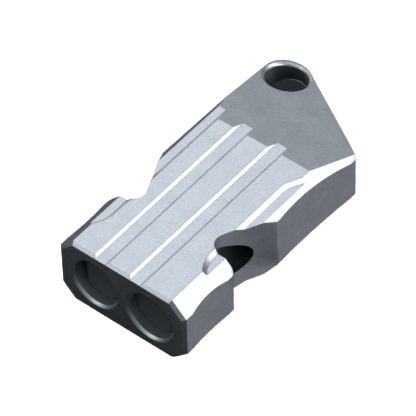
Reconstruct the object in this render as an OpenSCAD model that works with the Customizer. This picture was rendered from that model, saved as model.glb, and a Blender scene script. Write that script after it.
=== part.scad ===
// Survival whistle: one milled twin-tube body with a fipple plug fixed in each of its mouths.
// X runs across the body, Y from the mouth face to the lanyard end, Z up from the underside.
// Each tube works by itself: air enters the mouth, passes the plug's flat and meets the lip
// at the back of the side window, and the closed bore behind it sounds.

/* [Block] */
// Length from the mouth face to the tip
body_length = 46.7; // [43:0.1:52]
// Width over the side walls at the mouth
body_width = 21; // [20.4:0.1:23]
// Height of the block
body_height = 11.25; // [10.8:0.05:13]
// Width of the 45 degree cut along each of the four long corners
corner_cut = 2.3; // [1.6:0.05:2.6]
// Width of the chamfer round the mouth face
mouth_chamfer = 0.5; // [0.2:0.05:0.7]

/* [Tubes] */
// Diameter of each tube
tube_d = 7.2; // [6.4:0.1:7.4]
// Distance between the tube axes
tube_spacing = 9.1; // [8.9:0.1:9.6]
// Depth of the left tube, without its drill point
left_tube_depth = 31; // [26:0.5:32]
// Depth of the right tube, shorter so that it sounds a higher note
right_tube_depth = 29; // [25:0.5:31]
// Angle of the drill point at the end of each tube
drill_angle = 118; // [90:1:140]
// Width of the bevel at each tube's mouth
tube_bevel = 0.4; // [0.2:0.05:0.7]

/* [Side windows] */
// Distance from the mouth face to the front wall of each window
window_y = 10.55; // [9.8:0.05:11.5]
// How far each window cuts into the outer side of its tube
window_bite = 2.1; // [1.4:0.1:2.6]
// Radius of the window's round inner end
window_end_r = 1.73; // [1.2:0.05:2]
// Angle of the window's back wall from the body's length
window_angle = 26; // [20:0.5:32]
// Radius of the body corner in front of each window
window_corner_r = 0.9; // [0.3:0.05:1.2]

/* [Grooves on both faces] */
// Width of each long groove at the surface
groove_w = 2.45; // [1.6:0.05:3]
// Depth of each long groove
groove_depth = 0.42; // [0.2:0.02:0.5]
// Distance of the left groove's middle from the centre line
left_groove_x = 3.35; // [2.8:0.05:3.8]
// Distance of the right groove's middle from the centre line
right_groove_x = 2.4; // [1.9:0.05:3]

/* [Edge rebates on both faces] */
// Width of each rebate, from the side of the block to its inner edge
rebate_w = 3.5; // [3:0.05:3.9]
// Depth of each rebate
rebate_depth = 0.58; // [0.3:0.02:0.7]
// Radius of the curve at each rebate's mouth end
rebate_end_r = 5.1; // [4.2:0.1:6.5]
// Where the left rebate's straight edge begins
left_rebate_y = 7.5; // [6.6:0.1:9]
// Where the right rebate's straight edge begins
right_rebate_y = 9.85; // [8:0.05:11]
// Where the right rebate's straight edge ends
right_rebate_end_y = 24.15; // [21:0.05:25.5]
// Radius of the bend that follows there
right_bend_r = 3.3; // [1.5:0.1:5]
// Angle by which the rebate's edge turns outwards in that bend
right_bend_angle = 27.5; // [20:2.5:45]

/* [Side walls] */
// Length of the flat side wall at the mouth
grip_land = 1.8; // [1:0.1:2.5]
// Length of the flat side wall ahead of each window
window_land = 1.55; // [1.3:0.05:2.2]
// Depth of the finger hollow between those two flats
grip_depth = 0.36; // [0.1:0.02:0.5]
// Depth of the long hollow in the right side wall, behind the window
right_waist_depth = 1; // [0.6:0.05:1.2]
// Where that hollow is deepest
right_waist_y = 24.7; // [23.5:0.1:26]
// Radius of that hollow
right_waist_r = 50; // [40:1:60]
// Depth of the waist in the left side wall, behind the window
left_waist_depth = 0.94; // [0.75:0.01:1]
// Where that waist is narrowest
left_waist_y = 34.3; // [33:0.1:35.5]
// Angle at which the left side wall runs inwards to the waist
left_waist_angle = 1.9; // [1:0.1:2.2]
// Angle at which it runs outwards from the waist to the tip
left_flare_angle = 5.5; // [4.5:0.1:5.8]

/* [Lanyard end] */
// Where both faces begin to slope towards the tip
slope_y = 28.7; // [27:0.1:30]
// Thickness at the very tip
tip_thickness = 2.3; // [1.8:0.1:3.5]
// Where the straight right side ends and the slanting side begins
shoulder_y = 35.9; // [35.2:0.1:37.5]
// Radius of the corner at the shoulder
shoulder_r = 0.8; // [0.3:0.1:1.5]
// Radius of the two corners at the tip
tip_r = 3.1; // [1.5:0.05:3.2]
// Diameter of the lanyard hole
hole_d = 6; // [4.5:0.1:6]
// Width of the bevel round the upper end of the lanyard hole
hole_bevel = 0.4; // [0.2:0.05:0.5]
// Width of the bevel round the lower end of the lanyard hole
hole_bevel_below = 0.1; // [0.05:0.05:0.5]
// Distance of the hole's axis from the left side of the block
hole_from_side = 3.7; // [3.6:0.05:4.5]
// Distance of the hole's axis from the tip
hole_from_tip = 3.75; // [3.6:0.05:5]
// Length of the straight edge at the tip, right of the hole's axis
tip_run = 0.8; // [0.7:0.05:1.4]

/* [Fipple plugs] */
// Distance that each plug sits in from the mouth face
plug_recess = 1.6; // [0.8:0.1:3]
// Height of the air passage between the plug's flat and the tube wall
windway_h = 1.1; // [0.7:0.05:1.4]
// Width of the bevel round the plug's front end
plug_bevel = 0.2; // [0.1:0.05:0.4]
// Gap left round the plug for the retaining compound
plug_clearance = 0.01; // [0.005:0.005:0.03]

/* [Hidden] */

// Every cut runs this far past the surface that it opens
overrun = 0.6;
// Every round passes the straight side that it runs into by this much, to cross it cleanly
blend = 0.002;
// The bend reaches this many degrees into the straight stretches on both of its sides
bend_overlap = 5;

$fn = 144;
wide_arc_fn = 1440;

side_x = body_width / 2;
mid_z = body_height / 2;
tube_x = tube_spacing / 2;
tube_r = tube_d / 2;
// A drill's point ends in a small flat of this radius, its web
drill_web_r = 0.2;
drill_point = (tube_r - drill_web_r) / tan(drill_angle / 2);

// The window's inner end is a circle that touches the front wall and the back wall
window_end_x = tube_x + tube_r - window_bite + window_end_r;
window_end_y = window_y + window_end_r - blend;
window_reach = body_width;

// The tip, the hole and the slope of both faces
hole_x = -side_x + hole_from_side;
hole_y = body_length - hole_from_tip;
hole_r = hole_d / 2;
tip_x = hole_x + tip_run;
slope_run = body_length - slope_y;
slope_drop = (body_height - tip_thickness) / 2;
slope_angle = atan(slope_drop / slope_run);
hole_top_z = body_height - (hole_y - slope_y) * tan(slope_angle);

// The left side wall, from the window in to the waist and out to the tip
left_wall_y = window_end_y + window_end_r;
left_waist_x = left_waist_depth - side_x;
left_wall_x = left_waist_x - (left_waist_y - left_wall_y) * tan(left_waist_angle);
left_tip_x = left_waist_x - (body_length - left_waist_y) * tan(left_flare_angle);

// Where the upright sides of the end profile meet its corner cuts
low_corner_z = corner_cut;
high_corner_z = body_height - corner_cut;

function unit(v) = v / norm(v);

// What comes off a convex corner p when it is rounded, where q1 and q2 lie on its two edges
module corner_waste(p, q1, q2, r) {
    u = unit(q1 - p);
    v = unit(q2 - p);
    inward = unit(u + v);
    half = acos(u * v) / 2;
    inset = r - blend;
    centre = p + inward * inset / sin(half);
    difference() {
        polygon([
            p - inward * overrun,
            p + u * inset / tan(half),
            centre,
            p + v * inset / tan(half)
        ]);
        translate(centre) circle(r = r);
    }
}

// Hollow in the right side wall, a circle that reaches depth into it at y
module side_hollow(y, depth, r) {
    translate([side_x - depth + r, y]) circle(r = r, $fn = wide_arc_fn);
}

// One side window, seen from above, on the right
module window_plan() {
    back = [sin(window_angle), cos(window_angle)];
    touch = [window_end_x, window_end_y] + (window_end_r - blend) * [-back.y, back.x];
    far = touch + window_reach * back;
    translate([window_end_x, window_end_y]) circle(r = window_end_r);
    polygon([
        [window_end_x, window_y],
        [far.x, window_y],
        far,
        touch,
        [window_end_x, window_end_y]
    ]);
    corner_waste([side_x, window_y], [side_x, 0], [0, window_y], window_corner_r);
}

// Finger hollow between the mouth and the window, on the right
module grip_hollow() {
    chord = window_y - window_land - grip_land;
    r = (pow(chord / 2, 2) + pow(grip_depth, 2)) / (2 * grip_depth);
    side_hollow(grip_land + chord / 2, grip_depth, r);
}

// The outline seen from above
module plan() {
    shoulder = [side_x, shoulder_y];
    tip = [tip_x, body_length];
    left_tip = [left_tip_x, body_length];
    left_waist = [left_waist_x, left_waist_y];
    difference() {
        polygon([
            [-side_x, 0],
            [side_x, 0],
            shoulder,
            tip,
            left_tip,
            left_waist,
            [left_wall_x, left_wall_y],
            [-side_x, left_wall_y]
        ]);
        corner_waste(shoulder, [side_x, 0], tip, shoulder_r);
        corner_waste(tip, shoulder, left_tip, tip_r);
        corner_waste(left_tip, tip, left_waist, tip_r);
        side_hollow(right_waist_y, right_waist_depth, right_waist_r);
        for (side = [0, 1]) {
            mirror([side, 0]) {
                grip_hollow();
                window_plan();
            }
        }
    }
}

// The eight-sided profile seen from the mouth
module end_profile() {
    polygon([
        [side_x - corner_cut, 0],
        [side_x, low_corner_z],
        [side_x, high_corner_z],
        [side_x - corner_cut, body_height],
        [corner_cut - side_x, body_height],
        [-side_x, high_corner_z],
        [-side_x, low_corner_z],
        [corner_cut - side_x, 0]
    ]);
}

module block() {
    intersection() {
        linear_extrude(body_height) plan();
        translate([0, body_length, 0]) rotate([90, 0, 0]) linear_extrude(body_length) end_profile();
    }
}

// One long groove with 45 degree walls, cut from the mouth out through the slope
module groove(x) {
    foot = groove_w / 2 - groove_depth;
    brim = groove_w / 2 + overrun;
    translate([x, body_length + overrun, body_height])
        rotate([90, 0, 0])
            linear_extrude(body_length + 2 * overrun)
                polygon([
                    [-foot, -groove_depth],
                    [foot, -groove_depth],
                    [brim, overrun],
                    [-brim, overrun]
                ]);
}

// Straight stretch of a rebate that runs back from y = 0, with the brim of its wall at x = 0
module rebate_run(length) {
    far_x = rebate_w + rebate_end_r;
    translate([0, length, body_height])
        rotate([90, 0, 0])
            linear_extrude(length)
                polygon([
                    [rebate_depth, -rebate_depth],
                    [-overrun, overrun],
                    [far_x, overrun],
                    [far_x, -rebate_depth]
                ]);
}

// One edge rebate on the right, round at its mouth end and open at its other end
module rebate(from_y, to_y) {
    translate([side_x - rebate_w, from_y, 0]) {
        translate([rebate_end_r, 0, body_height - rebate_depth])
            cylinder(
                h = rebate_depth + overrun,
                r1 = rebate_end_r - rebate_depth,
                r2 = rebate_end_r + overrun
            );
        rebate_run(to_y - from_y);
    }
}

// The far end of the right rebate, where it bends outwards and runs out through the side
module rebate_bend() {
    passing_r = right_bend_r + blend;
    translate([side_x - rebate_w + right_bend_r, right_rebate_end_y, body_height]) {
        rotate(180 - right_bend_angle - bend_overlap)
            rotate_extrude(angle = right_bend_angle + 2 * bend_overlap)
                polygon([
                    [0, -rebate_depth],
                    [passing_r - rebate_depth, -rebate_depth],
                    [passing_r + overrun, overrun],
                    [0, overrun]
                ]);
        rotate(-right_bend_angle)
            translate([-right_bend_r, 0, -body_height])
                rebate_run(body_width);
    }
}

// What is milled off above the sloping lanyard end
module slope() {
    far_y = body_length + overrun;
    far_z = body_height - (far_y - slope_y) * tan(slope_angle);
    rotate([90, 0, 90])
        linear_extrude(body_width + 2 * overrun, center = true)
            polygon([
                [slope_y, body_height],
                [far_y, far_z],
                [far_y, body_height + overrun],
                [slope_y - overrun, body_height + overrun],
                [slope_y - overrun, body_height + overrun * tan(slope_angle)]
            ]);
}

// Bevel round the lanyard hole, square to the sloping face
module hole_rim(bevel) {
    translate([hole_x, hole_y, hole_top_z])
        rotate([-slope_angle, 0, 0])
            translate([0, 0, -bevel - overrun])
                cylinder(h = bevel + 2 * overrun, r1 = hole_r - overrun, r2 = hole_r + bevel + overrun);
}

// Everything that is milled into one face
module face_cuts(bevel) {
    groove(-left_groove_x);
    groove(right_groove_x);
    rebate(right_rebate_y, right_rebate_end_y);
    rebate_bend();
    mirror([1, 0, 0]) rebate(left_rebate_y, body_length);
    slope();
    hole_rim(bevel);
}

// Chamfer along one side of the mouth face, which faces angle from upwards and holds point
module mouth_edge(point, angle) {
    translate([point.x, 0, point.y])
        rotate([0, angle, 0])
            rotate([90, 0, 90])
                linear_extrude(2 * body_width, center = true)
                    polygon([
                        [-overrun, -mouth_chamfer - overrun],
                        [-overrun, overrun],
                        [mouth_chamfer + overrun, overrun]
                    ]);
}

// Chamfer round the whole mouth face
module mouth_edges() {
    mouth_edge([0, body_height], 0);
    mouth_edge([0, 0], 180);
    for (side = [-1, 1]) {
        mouth_edge([side * side_x, high_corner_z], side * 45);
        mouth_edge([side * side_x, mid_z], side * 90);
        mouth_edge([side * side_x, low_corner_z], side * 135);
    }
}

// One drilled tube with its drill point and the bevel at its mouth
module tube(x, depth) {
    translate([x, 0, mid_z]) {
        rotate([-90, 0, 0]) {
            translate([0, 0, -overrun]) cylinder(h = depth + overrun, r = tube_r);
            translate([0, 0, depth]) cylinder(h = drill_point, r1 = tube_r, r2 = drill_web_r);
            translate([0, 0, -overrun])
                cylinder(
                    h = tube_bevel + 2 * overrun,
                    r1 = tube_r + tube_bevel + overrun,
                    r2 = tube_r - overrun
                );
        }
    }
}

module body() {
    color([0.78, 0.8, 0.83])
        difference() {
            block();
            face_cuts(hole_bevel);
            translate([0, 0, body_height]) mirror([0, 0, 1]) face_cuts(hole_bevel_below);
            mouth_edges();
            tube(-tube_x, left_tube_depth);
            tube(tube_x, right_tube_depth);
            translate([hole_x, hole_y, -overrun]) cylinder(h = body_height + 2 * overrun, r = hole_r);
        }
}

// A rod with one flat, slid in from the mouth until its back end is level with the
// window's front wall. The flat faces outwards and leaves the air passage.
module fipple_plug() {
    rod_r = tube_r - plug_clearance;
    rod_l = window_y - plug_recess;
    difference() {
        translate([tube_x, plug_recess, mid_z])
            rotate([-90, 0, 0]) {
                cylinder(h = plug_bevel, r1 = rod_r - plug_bevel, r2 = rod_r);
                translate([0, 0, plug_bevel]) cylinder(h = rod_l - plug_bevel, r = rod_r);
            }
        translate([tube_x + tube_r - windway_h, plug_recess - overrun, mid_z - tube_d / 2])
            cube([windway_h + overrun, rod_l + 2 * overrun, tube_d]);
    }
}

module right_fipple_plug() {
    color([0.5, 0.52, 0.55]) fipple_plug();
}

module left_fipple_plug() {
    color([0.5, 0.52, 0.55]) mirror([1, 0, 0]) fipple_plug();
}

// The frame's origin is below the middle of the block
module in_frame() {
    translate([0, -body_length / 2, 0]) children();
}

in_frame() body();
in_frame() left_fipple_plug();
in_frame() right_fipple_plug();
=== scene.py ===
import math

import bmesh
import bpy
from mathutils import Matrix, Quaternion, Vector


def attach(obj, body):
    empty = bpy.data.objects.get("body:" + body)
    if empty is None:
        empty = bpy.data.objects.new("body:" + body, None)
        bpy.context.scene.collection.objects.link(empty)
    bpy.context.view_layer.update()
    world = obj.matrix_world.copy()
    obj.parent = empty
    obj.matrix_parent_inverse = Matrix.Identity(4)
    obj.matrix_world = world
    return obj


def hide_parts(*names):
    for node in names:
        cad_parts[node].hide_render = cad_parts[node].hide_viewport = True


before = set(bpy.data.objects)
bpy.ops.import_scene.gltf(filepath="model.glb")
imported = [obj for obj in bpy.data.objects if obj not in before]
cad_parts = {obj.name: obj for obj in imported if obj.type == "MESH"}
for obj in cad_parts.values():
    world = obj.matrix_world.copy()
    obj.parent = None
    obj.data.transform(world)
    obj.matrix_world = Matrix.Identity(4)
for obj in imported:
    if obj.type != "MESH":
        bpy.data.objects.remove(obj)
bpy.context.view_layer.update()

# Looks of the survival whistle: a blasted metal body with reamed tubes and two turned fipple
# plugs, on a pale floor. The dark metal of the tubes' bores and the plugs, and the darker metal of
# the lanyard hole, is painted shade. Lengths are in metres, in the frame of the imported model.
mm = 0.001

print("camera")
cameraLook = {
    "azimuth": math.radians(39.73),
    "elevation": math.radians(47.79),
    "roll": math.radians(-1.54),
    "distance": 521.9 * mm,
    "clipShare": 0.01,  # of the distance, from which on the camera sees
    "lens": 344.2,
    "sightPoint": (0, -2.35 * mm, 5.12 * mm),
    "middleRight": -2.08 * mm,  # from the sight point to the middle of the picture
    "middleUp": 0.03 * mm,
}


def wayTo(azimuth, elevation):
    # From the whistle towards the camera or a lamp, with azimuth 0 at the mouth
    return Vector((
        math.sin(azimuth) * math.cos(elevation),
        -math.cos(azimuth) * math.cos(elevation),
        math.sin(elevation),
    ))


def placeCamera(look):
    back = wayTo(look["azimuth"], look["elevation"])
    turn = Quaternion((0, 0, 1), look["roll"])
    right = (back.to_track_quat("Z", "Y") @ turn) @ Vector((1, 0, 0))
    sight = Vector(look["sightPoint"])
    place = sight + back * look["distance"]
    middle = sight + right * look["middleRight"] + back.cross(right) * look["middleUp"]
    data = bpy.data.cameras.new("studio_camera")
    data.lens = look["lens"]
    data.clip_start = look["distance"] * look["clipShare"]
    camera = bpy.data.objects.new("studio_camera", data)
    bpy.context.scene.collection.objects.link(camera)
    camera.location = place
    camera.rotation_mode = "QUATERNION"
    camera.rotation_quaternion = (place - middle).to_track_quat("Z", "Y") @ turn
    bpy.context.scene.camera = camera


placeCamera(cameraLook)
bpy.context.scene.view_settings.view_transform = "Standard"

print("studio light")
studioLook = {
    "reach": 600 * mm,  # from the whistle to each softbox
    "boxes": {
        # way to the softbox, its width and height, its brightness
        "right_softbox": ((0.83, 0.22, 0.51), 760 * mm, 420 * mm, 1.7),
        "front_softbox": ((-0.50, -0.70, 0.50), 360 * mm, 260 * mm, 0.8),
        "left_softbox": ((-0.85, 0.45, 0.20), 420 * mm, 200 * mm, 0.6),
        "top_softbox": ((-0.43, -0.16, 0.89), 260 * mm, 150 * mm, 1.8),
        "back_softbox": ((-0.46, 0.42, 0.78), 420 * mm, 420 * mm, 0.61),
        "tail_softbox": ((-0.43, 0.82, 0.36), 360 * mm, 240 * mm, 0.08),
    },
    "skyColour": (0.68, 0.86, 1),
    "skyLow": 0.03,  # brightness at the horizon
    "skyHigh": 0.46,  # brightness overhead
    "whiteInMetal": 0.08,  # share of the white surroundings that the metal shows
}


def addSoftbox(name, direction, width, height, brightness, reach):
    data = bpy.data.lights.new(name, "AREA")
    data.shape = "RECTANGLE"
    data.size = width
    data.size_y = height
    data.energy = brightness * width * height * math.pi
    box = bpy.data.objects.new(name, data)
    bpy.context.scene.collection.objects.link(box)
    way = Vector(direction).normalized()
    box.location = way * reach
    box.rotation_mode = "QUATERNION"
    box.rotation_quaternion = way.to_track_quat("Z", "Y")
    box.visible_camera = False


for boxName, boxLook in studioLook["boxes"].items():
    addSoftbox(boxName, *boxLook, studioLook["reach"])


def addNode(tree, kind, **settings):
    node = tree.nodes.new(kind)
    for name, value in settings.items():
        setattr(node, name, value)
    return node


def whiteShare(tree):
    # How much of the white surroundings a ray shows: all of it to the camera and through glass,
    # and a small share in metal
    path = addNode(tree, "ShaderNodeLightPath")
    direct = addNode(tree, "ShaderNodeMath", operation="MAXIMUM")
    tree.links.new(path.outputs["Is Camera Ray"], direct.inputs[0])
    tree.links.new(path.outputs["Is Transmission Ray"], direct.inputs[1])
    share = addNode(tree, "ShaderNodeMath", operation="MULTIPLY")
    tree.links.new(path.outputs["Is Glossy Ray"], share.inputs[0])
    share.inputs[1].default_value = studioLook["whiteInMetal"]
    most = addNode(tree, "ShaderNodeMath", operation="MAXIMUM")
    tree.links.new(direct.outputs["Value"], most.inputs[0])
    tree.links.new(share.outputs["Value"], most.inputs[1])
    return most.outputs["Value"]


def studioSky(look):
    world = bpy.data.worlds.new("studio")
    bpy.context.scene.world = world
    world.use_nodes = True
    tree = world.node_tree
    tree.nodes.clear()
    link = tree.links.new
    where = addNode(tree, "ShaderNodeTexCoord")
    parts = addNode(tree, "ShaderNodeSeparateXYZ")
    link(where.outputs["Generated"], parts.inputs["Vector"])
    rise = addNode(tree, "ShaderNodeMapRange", interpolation_type="SMOOTHSTEP")
    rise.inputs["To Min"].default_value = look["skyLow"]
    rise.inputs["To Max"].default_value = look["skyHigh"]
    link(parts.outputs["Z"], rise.inputs["Value"])
    sky = addNode(tree, "ShaderNodeBackground")
    sky.inputs["Color"].default_value = (*look["skyColour"], 1)
    link(rise.outputs["Result"], sky.inputs["Strength"])
    white = addNode(tree, "ShaderNodeBackground")
    white.inputs["Color"].default_value = (1, 1, 1, 1)
    both = addNode(tree, "ShaderNodeMixShader")
    link(whiteShare(tree), both.inputs["Fac"])
    link(sky.outputs["Background"], both.inputs[1])
    link(white.outputs["Background"], both.inputs[2])
    out = addNode(tree, "ShaderNodeOutputWorld")
    link(both.outputs["Shader"], out.inputs["Surface"])


studioSky(studioLook)

print("floor")
floorLook = {
    "radius": 3,
    "corners": 96,
    "gap": 0.01 * mm,  # from the underside down to the floor, and up to the cards
    "page": (0.09, 0.09, 0.09),  # the lamps light this grey up to white
    "pageFrom": 70 * mm,  # from here on the lit page fades into a plain white one
    "pageTo": 250 * mm,
    "ground": (0.0007, 0.001, 0.0018),  # the dark ground that the metal shows instead
    "lampWhite": 1.08,  # how white one lamp makes the page, where 1 is white
    # azimuth and elevation of each page lamp
    "lampWays": ((math.radians(32), math.radians(65.8)), (math.radians(40), math.radians(27))),
    "lampSpread": math.radians(6),
    "flags": {
        # left, right, back and front side on the floor, and grey of the card
        "mouth_flag": (-45 * mm, 45 * mm, -22.3 * mm, -112 * mm, 0.04),
        "window_flag": (11 * mm, 21 * mm, -1.5 * mm, -8 * mm, 0.15),
        "left_flag": (-60 * mm, -12 * mm, 60 * mm, -22 * mm, 0.07),
    },
    "shadePlace": (-8.6 * mm, 22.4 * mm),
    "shadeRadius": 3.75 * mm,
    "shadeCorners": 48,
}


def flatDisc(name, radius, corners, place):
    mesh = bpy.data.meshes.new(name)
    work = bmesh.new()
    bmesh.ops.create_circle(work, cap_ends=True, radius=radius, segments=corners)
    work.to_mesh(mesh)
    work.free()
    disc = bpy.data.objects.new(name, mesh)
    bpy.context.scene.collection.objects.link(disc)
    disc.location = place
    return disc


def floorMaterial(look):
    # The camera sees a white page that keeps the whistle's shadow, and the metal mostly dark ground
    material = bpy.data.materials.new("pale_floor")
    material.use_nodes = True
    tree = material.node_tree
    tree.nodes.clear()
    link = tree.links.new
    page = addNode(tree, "ShaderNodeBsdfDiffuse")
    page.inputs["Color"].default_value = (*look["page"], 1)
    glow = addNode(tree, "ShaderNodeEmission")
    where = addNode(tree, "ShaderNodeTexCoord")
    away = addNode(tree, "ShaderNodeVectorMath", operation="LENGTH")
    link(where.outputs["Object"], away.inputs[0])
    fade = addNode(tree, "ShaderNodeMapRange", interpolation_type="SMOOTHSTEP")
    fade.inputs["From Min"].default_value = look["pageFrom"]
    fade.inputs["From Max"].default_value = look["pageTo"]
    link(away.outputs["Value"], fade.inputs["Value"])
    seen = addNode(tree, "ShaderNodeMixShader")
    link(fade.outputs["Result"], seen.inputs["Fac"])
    link(page.outputs["BSDF"], seen.inputs[1])
    link(glow.outputs["Emission"], seen.inputs[2])
    ground = addNode(tree, "ShaderNodeBsdfDiffuse")
    ground.inputs["Color"].default_value = (*look["ground"], 1)
    both = addNode(tree, "ShaderNodeMixShader")
    link(whiteShare(tree), both.inputs["Fac"])
    link(ground.outputs["BSDF"], both.inputs[1])
    link(seen.outputs["Shader"], both.inputs[2])
    clear = addNode(tree, "ShaderNodeBsdfTransparent")  # from below, the floor is left out
    side = addNode(tree, "ShaderNodeNewGeometry")
    oneSided = addNode(tree, "ShaderNodeMixShader")
    link(side.outputs["Backfacing"], oneSided.inputs["Fac"])
    link(both.outputs["Shader"], oneSided.inputs[1])
    link(clear.outputs["BSDF"], oneSided.inputs[2])
    out = addNode(tree, "ShaderNodeOutputMaterial")
    link(oneSided.outputs["Shader"], out.inputs["Surface"])
    return material


def paleFloor(look):
    floor = flatDisc("studio_floor", look["radius"], look["corners"], (0, 0, -look["gap"]))
    floor.data.materials.append(floorMaterial(look))
    return floor


def lightOnly(lamp, name, target, state):
    # The lamp lights nothing but the target, or everything but the target
    group = bpy.data.collections.new(name)
    group.objects.link(target)
    group.collection_objects[0].light_linking.link_state = state
    lamp.light_linking.receiver_collection = group


def pageLamps(look, floor):
    # Two lamps light the floor alone. What the whistle shades from one is lit by the other, apart
    # from the shadow behind it and below its tail.
    for azimuth, elevation in look["lampWays"]:
        data = bpy.data.lights.new("page_lamp", "SUN")
        data.energy = look["lampWhite"] * math.pi / look["page"][0] / math.sin(elevation)
        data.angle = look["lampSpread"]
        lamp = bpy.data.objects.new("page_lamp", data)
        bpy.context.scene.collection.objects.link(lamp)
        lamp.rotation_mode = "QUATERNION"
        lamp.rotation_quaternion = wayTo(azimuth, elevation).to_track_quat("Z", "Y")
        lightOnly(lamp, lamp.name + "_lights", floor, "INCLUDE")
    for boxName in studioLook["boxes"]:
        lightOnly(bpy.data.objects[boxName], boxName + "_spares", floor, "EXCLUDE")


def blackFlags(look):
    # Dark cards on the floor, which only the metal's reflections see
    for name, (left, right, back, front, grey) in look["flags"].items():
        mesh = bpy.data.meshes.new(name)
        corners = [(left, front), (right, front), (right, back), (left, back)]
        mesh.from_pydata([(x, y, look["gap"]) for x, y in corners], [], [(0, 1, 2, 3)])
        material = bpy.data.materials.new(name + "_card")
        material.use_nodes = True
        card = material.node_tree.nodes["Principled BSDF"]
        card.inputs["Base Color"].default_value = (grey, grey, grey, 1)
        card.inputs["Roughness"].default_value = 1
        mesh.materials.append(material)
        flag = bpy.data.objects.new(name, mesh)
        bpy.context.scene.collection.objects.link(flag)
        flag.visible_camera = flag.visible_diffuse = flag.visible_shadow = False


def holeShade(look):
    # A small card in the shadow below the lanyard hole. It only keeps the last lamp light off the
    # floor that is seen through the hole.
    place = (*look["shadePlace"], look["gap"])
    shade = flatDisc("hole_shade", look["shadeRadius"], look["shadeCorners"], place)
    shade.visible_camera = shade.visible_diffuse = shade.visible_glossy = False
    shade.visible_transmission = False


pageLamps(floorLook, paleFloor(floorLook))
blackFlags(floorLook)
holeShade(floorLook)

print("shared surface effects")
grainLook = {
    "dimpleDetail": 2,
    "speckShare": 0.35,  # of the dimples' number per metre
    "speckDetail": 4,
    "speckRoughness": 0.7,
    "speckRange": (0.3, 0.7),  # of the noise, from the darkest to the lightest speck
    "stainScale": 350,  # per metre
    "stainDetail": 3,
    "stainRange": (0.35, 0.65),
}


def newGroup(name, inputs, outputs):
    group = bpy.data.node_groups.new(name, "ShaderNodeTree")
    for socketName, kind, value in inputs:
        socket = group.interface.new_socket(socketName, in_out="INPUT", socket_type=kind)
        socket.default_value = value
    for socketName, kind in outputs:
        group.interface.new_socket(socketName, in_out="OUTPUT", socket_type=kind)
    start = group.nodes.new("NodeGroupInput")
    end = group.nodes.new("NodeGroupOutput")
    return group, start, end


def blastGrainGroup(look):
    # The dimples left by blasting, as a height, and a mask of light specks mixed with wider stains
    group, start, end = newGroup(
        "blast_grain",
        [("Grain Size", "NodeSocketFloat", 0.1 * mm), ("Mottle", "NodeSocketFloat", 0)],
        [("Height", "NodeSocketFloat"), ("Specks", "NodeSocketFloat")],
    )
    link = group.links.new
    where = addNode(group, "ShaderNodeTexCoord")
    scale = addNode(group, "ShaderNodeMath", operation="DIVIDE")
    scale.inputs[0].default_value = 1
    link(start.outputs["Grain Size"], scale.inputs[1])
    dimples = addNode(group, "ShaderNodeTexNoise")
    dimples.inputs["Detail"].default_value = look["dimpleDetail"]
    link(where.outputs["Object"], dimples.inputs["Vector"])
    link(scale.outputs["Value"], dimples.inputs["Scale"])
    link(dimples.outputs["Fac"], end.inputs["Height"])
    wide = addNode(group, "ShaderNodeMath", operation="MULTIPLY")
    wide.inputs[1].default_value = look["speckShare"]
    link(scale.outputs["Value"], wide.inputs[0])
    patches = addNode(group, "ShaderNodeTexNoise")
    patches.inputs["Detail"].default_value = look["speckDetail"]
    patches.inputs["Roughness"].default_value = look["speckRoughness"]
    link(where.outputs["Object"], patches.inputs["Vector"])
    link(wide.outputs["Value"], patches.inputs["Scale"])
    specks = addNode(group, "ShaderNodeMapRange")
    specks.inputs["From Min"].default_value = look["speckRange"][0]
    specks.inputs["From Max"].default_value = look["speckRange"][1]
    link(patches.outputs["Fac"], specks.inputs["Value"])
    clouds = addNode(group, "ShaderNodeTexNoise")
    clouds.inputs["Scale"].default_value = look["stainScale"]
    clouds.inputs["Detail"].default_value = look["stainDetail"]
    link(where.outputs["Object"], clouds.inputs["Vector"])
    stains = addNode(group, "ShaderNodeMapRange")
    stains.inputs["From Min"].default_value = look["stainRange"][0]
    stains.inputs["From Max"].default_value = look["stainRange"][1]
    link(clouds.outputs["Fac"], stains.inputs["Value"])
    both = addNode(group, "ShaderNodeMix", data_type="FLOAT")
    link(start.outputs["Mottle"], both.inputs["Factor"])
    link(specks.outputs["Result"], both.inputs["A"])
    link(stains.outputs["Result"], both.inputs["B"])
    link(both.outputs["Result"], end.inputs["Specks"])
    return group


blastGrain = blastGrainGroup(grainLook)

print("body")
bodyLook = {
    "weld": 0.0001 * mm,
    "flatWithin": math.radians(0.3),  # faces that turn less than this are one flat face
    "breakAbove": math.radians(6),  # edges that turn more than this are broken
    # how wide each kind of edge is broken
    "plainBreak": 0.08 * mm,
    "holeBreak": 0.15 * mm,  # inner edge of the lanyard hole's upper bevel
    "rimBreak": 0.045 * mm,  # thin land round the lanyard hole
    "windowBreak": 0.3 * mm,  # upright edges behind the windows, the widest of all
    "breakSteps": 3,
    "evenWeight": 90,  # how far large faces win over the narrow ones of the breaks
    "holeMiddle": (-6.8 * mm, 19.6 * mm),
    "holeReach": 3.1 * mm,  # within this lie the hole's wall and its inner edges
    "rimReach": 4.4 * mm,  # within this lie the edges of the land round it
    "windowBack": (-4.6 * mm, -1.8 * mm),  # between these lie the upright edges behind the windows
    "steepEdge": 0.95,  # least rise of an upright edge, as a share of its length
    "upright": 0.05,  # largest rise of an upright face's normal
    "tubeMiddle": (4.55 * mm, 5.625 * mm),  # across and up, the same on both sides
    "tubeReach": 3.61 * mm,  # within this, from tubeFrom to tubeTo, lie the tubes' bores
    "tubeFrom": -22.97 * mm,
    "tubeTo": 10 * mm,
    "metallic": 1,
    "colour": (0.875, 0.89, 0.925),
    "shade": (0.60, 0.615, 0.66),
    "roughness": (0.32, 0.40),
    "grain": 0.12 * mm,
    "grainDepth": 0.006 * mm,
    "grainStrength": 0.7,
    "mottle": 0.25,
}


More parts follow.
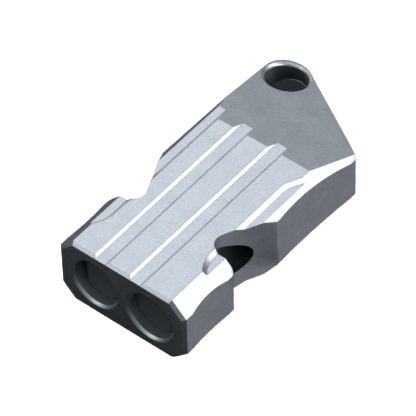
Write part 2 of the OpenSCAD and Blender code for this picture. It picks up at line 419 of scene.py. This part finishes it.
def cornerEdges(mesh, turn, weld):
    # The edges at which the CAD surfaces meet at an angle, as pairs of end points
    def cornerOf(loop):
        point = mesh.vertices[mesh.loops[loop].vertex_index].co
        return tuple(round(c / weld) for c in point), mesh.corner_normals[loop].vector.copy()

    sides = {}
    for face in mesh.polygons:
        loops = list(face.loop_indices)
        for here, following in zip(loops, loops[1:] + loops[:1]):
            normals = dict((cornerOf(here), cornerOf(following)))
            sides.setdefault(frozenset(normals), []).append(normals)
    corners = set()
    for edge, both in sides.items():
        if len(both) == 2 and any(both[0][k].angle(both[1][k], 0) > turn for k in edge):
            corners.add(edge)
    return corners


def breakWidth(edge, look):
    # How wide the maker breaks this edge
    middle = (edge.verts[0].co + edge.verts[1].co) / 2
    along = (edge.verts[1].co - edge.verts[0].co).normalized()
    fromHole = math.dist(middle.xy, look["holeMiddle"])
    if fromHole < look["holeReach"] and middle.z > look["tubeMiddle"][1]:
        return look["holeBreak"]
    if fromHole < look["rimReach"]:
        return look["rimBreak"]
    yFrom, yTo = look["windowBack"]
    if abs(along.z) > look["steepEdge"] and yFrom < middle.y < yTo:
        return look["windowBreak"]
    return look["plainBreak"]


def paintedShadeZoneOf(face, look):
    # 0 for the blasted outside, 1 for a tube's bore with its drill point, 2 for the lanyard hole.
    # 1 and 2 get darker metal as painted shade.
    if all(math.dist(v.co.xy, look["holeMiddle"]) < look["holeReach"] for v in face.verts):
        return 2
    for vert in face.verts:
        fromTube = math.dist((abs(vert.co.x), vert.co.z), look["tubeMiddle"])
        if fromTube >= look["tubeReach"] or not look["tubeFrom"] < vert.co.y < look["tubeTo"]:
            return 0
    return 1


def isWindowBack(face, look):
    # The windows' back walls, and the side walls that start behind them
    yFrom, yTo = look["windowBack"]
    return abs(face.normal.z) < look["upright"] and any(yFrom < v.co.y < yTo for v in face.verts)


def brokenEdgeMesh(node, name, look):
    # The CAD mesh, welded, with flat faces made whole and each corner edge marked with its break
    weld = look["weld"]
    corners = cornerEdges(node.data, look["breakAbove"], weld)
    work = bmesh.new()
    work.from_mesh(node.data)
    bmesh.ops.remove_doubles(work, verts=work.verts, dist=weld)
    for edge in work.edges:
        ends = frozenset(tuple(round(c / weld) for c in v.co) for v in edge.verts)
        edge.smooth = ends not in corners
    bmesh.ops.dissolve_limit(
        work, angle_limit=look["flatWithin"], verts=work.verts, edges=work.edges, delimit={"SHARP"}
    )
    work.normal_update()
    # No face may wrap round a hole, so faces are split where their outline turns in. The windows'
    # back walls stay whole, because splits would show there.
    splitFaces = [face for face in work.faces if not isWindowBack(face, look)]
    bmesh.ops.connect_verts_concave(work, faces=splitFaces)
    work.normal_update()
    weights = work.edges.layers.float.new("bevel_weight_edge")
    for edge in work.edges:
        if not edge.smooth:
            edge[weights] = breakWidth(edge, look) / look["windowBreak"]
    for face in work.faces:
        face.material_index = paintedShadeZoneOf(face, look)
    mesh = bpy.data.meshes.new(name)
    work.to_mesh(mesh)
    work.free()
    mesh.shade_smooth()
    return mesh


def metalMaterial(name, look):
    material = bpy.data.materials.new(name)
    material.use_nodes = True
    tree = material.node_tree
    link = tree.links.new
    metal = tree.nodes["Principled BSDF"]
    metal.inputs["Metallic"].default_value = look["metallic"]
    grain = addNode(tree, "ShaderNodeGroup", node_tree=blastGrain)
    grain.inputs["Grain Size"].default_value = look["grain"]
    grain.inputs["Mottle"].default_value = look["mottle"]
    tone = addNode(tree, "ShaderNodeMix", data_type="RGBA")
    tone.inputs["A"].default_value = (*look["shade"], 1)
    tone.inputs["B"].default_value = (*look["colour"], 1)
    link(grain.outputs["Specks"], tone.inputs["Factor"])
    link(tone.outputs["Result"], metal.inputs["Base Color"])
    rough = addNode(tree, "ShaderNodeMapRange")
    rough.inputs["To Min"].default_value = look["roughness"][0]
    rough.inputs["To Max"].default_value = look["roughness"][1]
    link(grain.outputs["Specks"], rough.inputs["Value"])
    link(rough.outputs["Result"], metal.inputs["Roughness"])
    bump = addNode(tree, "ShaderNodeBump")
    bump.inputs["Strength"].default_value = look["grainStrength"]
    bump.inputs["Distance"].default_value = look["grainDepth"]
    link(grain.outputs["Height"], bump.inputs["Height"])
    link(bump.outputs["Normal"], metal.inputs["Normal"])
    return material


# Dark, half-metal colour for the tubes' bores: painted shade for the shade deep inside the tubes
tubePaintedShadeLook = {
    "metallic": 0.5,
    "colour": (0.27, 0.28, 0.275),
    "shade": (0.19, 0.195, 0.19),
    "roughness": (0.45, 0.6),
    "grain": 0.12 * mm,
    "grainDepth": 0.004 * mm,
    "grainStrength": 0.3,
    "mottle": 0,
}
# A little darker than the outside: painted shade inside the lanyard hole
holePaintedShadeLook = {
    "metallic": 1,
    "colour": (0.76, 0.77, 0.79),
    "shade": (0.68, 0.69, 0.71),
    "roughness": (0.3, 0.4),
    "grain": 0.12 * mm,
    "grainDepth": 0.004 * mm,
    "grainStrength": 0.3,
    "mottle": 0,
}
bodyMesh = brokenEdgeMesh(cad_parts["body"], "whistle_body", bodyLook)
bodyMesh.materials.append(metalMaterial("blasted_aluminium", bodyLook))
# Slots 1 and 2 hold darker metal: painted shade in the bores and the lanyard hole
bodyMesh.materials.append(metalMaterial("bore_painted_shade", tubePaintedShadeLook))
bodyMesh.materials.append(metalMaterial("hole_painted_shade", holePaintedShadeLook))
whistleBody = bpy.data.objects.new("whistle_body", bodyMesh)
bpy.context.scene.collection.objects.link(whistleBody)
broken = whistleBody.modifiers.new("broken_edges", "BEVEL")
broken.limit_method = "WEIGHT"
broken.width = bodyLook["windowBreak"]
broken.segments = bodyLook["breakSteps"]
broken.use_clamp_overlap = False
broken.loop_slide = False  # sliding pushes sharp corners out of the block
even = whistleBody.modifiers.new("even_faces", "WEIGHTED_NORMAL")
even.weight = bodyLook["evenWeight"]
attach(whistleBody, "root")
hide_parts("body")

print("fipple plugs")
# Dark, half-metal colour for the fipple plugs: painted shade for their recess in the tubes
plugPaintedShadeLook = {
    "metallic": 0.5,
    "colour": (0.26, 0.27, 0.265),
    "shade": (0.18, 0.185, 0.18),
    "roughness": (0.45, 0.6),
    "grain": 0.06 * mm,
    "grainDepth": 0.003 * mm,
    "grainStrength": 0.3,
    "mottle": 0,
}
plugPaintedShadeMetal = metalMaterial("plug_painted_shade", plugPaintedShadeLook)
for nodeName in ("left_fipple_plug", "right_fipple_plug"):
    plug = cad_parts[nodeName]
    plug.material_slots[0].material = plugPaintedShadeMetal
